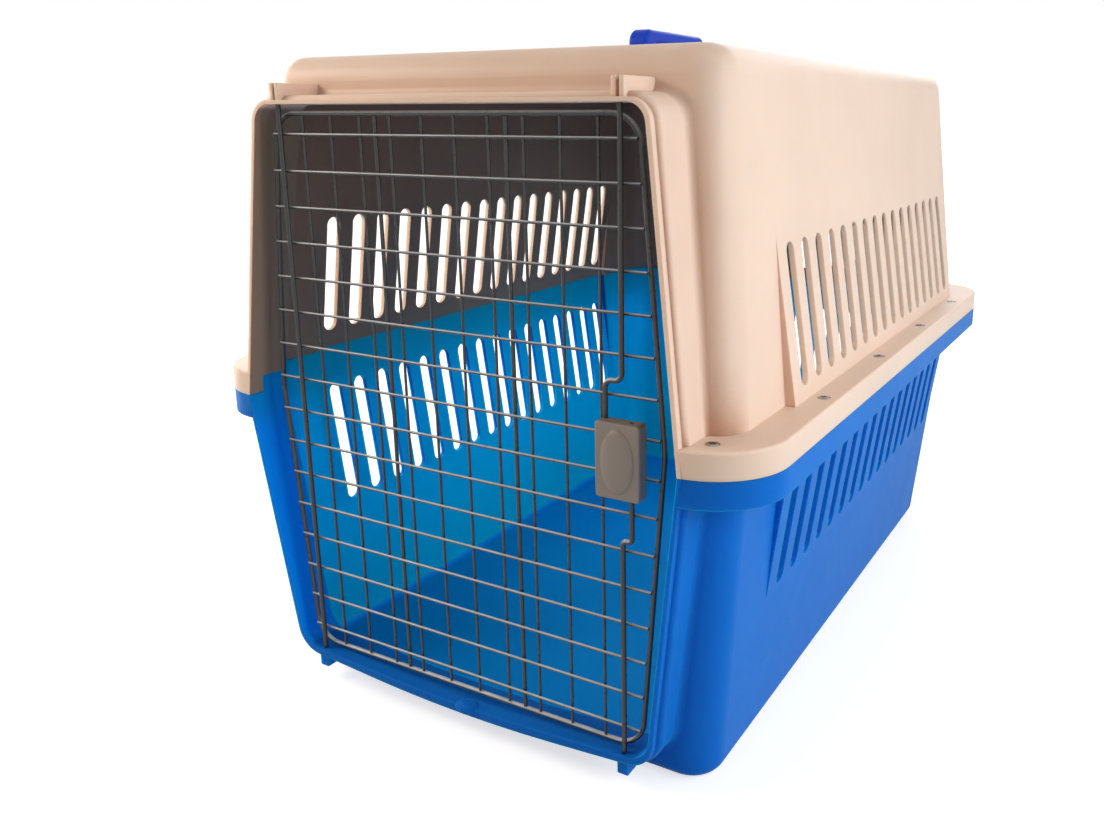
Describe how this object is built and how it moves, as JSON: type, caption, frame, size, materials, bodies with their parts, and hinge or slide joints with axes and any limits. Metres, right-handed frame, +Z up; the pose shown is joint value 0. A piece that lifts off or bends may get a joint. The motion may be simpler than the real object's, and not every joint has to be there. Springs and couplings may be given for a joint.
{
  "type": "pet carrier",
  "caption": "Hard-shell pet carrier with a bolted two-part shell, side vent slots, a hinged wire door with a squeeze latch and a carry handle.",
  "frame": {"origin": "on the floor under the middle of the outline", "axes": "+Z up, the door faces -Y, +X to the right of someone who looks at the door"},
  "size_m": [0.566, 0.81, 0.623],
  "materials": {
    "cream_plastic": "moulded, satin",
    "blue_plastic": "moulded, satin",
    "handle_plastic": "moulded, smooth",
    "taupe_plastic": "moulded, satin",
    "black_wire": "dark coated wire",
    "screw_steel": "plain steel",
    "spring_steel": "spring wire"
  },
  "bodies": {
    "case": {"upper_shell": "cream_plastic", "lower_shell": "blue_plastic", "flange_screws": "screw_steel", "flange_nuts": "screw_steel", "carry_handle": "handle_plastic", "handle_screws": "screw_steel", "handle_washers": "screw_steel"},
    "door": {"door_frame_wire": "black_wire", "door_cross_wires": "black_wire", "door_upright_wires": "black_wire", "door_stiffener_left": "black_wire", "door_stiffener_right": "black_wire", "door_hinge_rod": "black_wire"},
    "latch_upper": {"latch_cover": "taupe_plastic", "latch_upper_rod": "black_wire", "latch_back_plate": "taupe_plastic", "latch_plate_screw": "screw_steel", "latch_spring": "spring_steel"},
    "latch_lower": {"latch_slide": "taupe_plastic", "latch_lower_rod": "black_wire"}
  },
  "joints": [
    {"name": "door_swing", "type": "hinge", "parent": "case", "child": "door", "pos_m": [-0.168, -0.38935, 0.3], "axis": [0, 0, -1], "range_deg": [0, 110]},
    {"name": "upper_bolt", "type": "slide", "parent": "door", "child": "latch_upper", "axis": [0, 0, 1], "range_m": [0, 0.01], "stiffness_N_per_m": 150, "springref_m": 0.012},
    {"name": "lower_bolt", "type": "slide", "parent": "door", "child": "latch_lower", "axis": [0, 0, 1], "range_m": [-0.01, 0], "deforming": ["latch_spring"]}
  ],
  "couplings": [
    {"joint": "lower_bolt", "follows": "upper_bolt", "ratio": -1}
  ]
}
